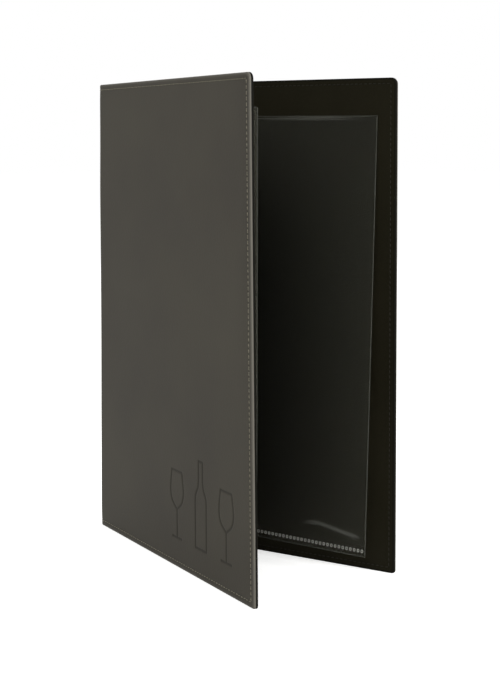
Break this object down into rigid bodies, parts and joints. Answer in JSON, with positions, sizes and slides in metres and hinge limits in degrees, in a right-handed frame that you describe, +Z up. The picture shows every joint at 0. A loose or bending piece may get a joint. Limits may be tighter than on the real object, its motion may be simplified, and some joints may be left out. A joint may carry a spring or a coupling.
{
  "type": "wine list folder",
  "caption": "Stiff-covered list folder in leather with black lining, soft spine and clear page pockets; both covers swing on the spine.",
  "frame": {"origin": "on the ground under the middle of the folder's box, half way between the spine's back and the fore edges", "axes": "+Z up the spine, -Y out through the open V between the covers, front cover on -X and back cover on +X"},
  "size_m": [0.1324, 0.249, 0.34],
  "materials": {
    "outer_leather": "smooth fine-grained coated leather, satin, taupe",
    "cover_board": "grey bookbinding board, hidden inside the covers",
    "black_lining": "thin black coated lining, satin",
    "clear_film": "clear glossy pocket film"
  },
  "bodies": {
    "spine": {"spine_leather": "outer_leather", "spine_lining": "black_lining", "pocket_web": "clear_film", "front_pocket_leaf": "clear_film", "back_pocket_leaf": "clear_film"},
    "front_cover": {"front_outer_leather": "outer_leather", "front_board": "cover_board", "front_lining": "black_lining"},
    "back_cover": {"back_outer_leather": "outer_leather", "back_board": "cover_board", "back_lining": "black_lining"}
  },
  "joints": [
    {"name": "front_hinge", "type": "hinge", "parent": "spine", "child": "front_cover", "pos_m": [-0.005, 0.12008, 0.17], "axis": [0, 0, -1], "range_deg": [-14, 76], "deforming": ["front_pocket_leaf"]},
    {"name": "back_hinge", "type": "hinge", "parent": "spine", "child": "back_cover", "pos_m": [0.005, 0.12008, 0.17], "axis": [0, 0, 1], "range_deg": [-14, 76], "deforming": ["back_pocket_leaf"]}
  ]
}
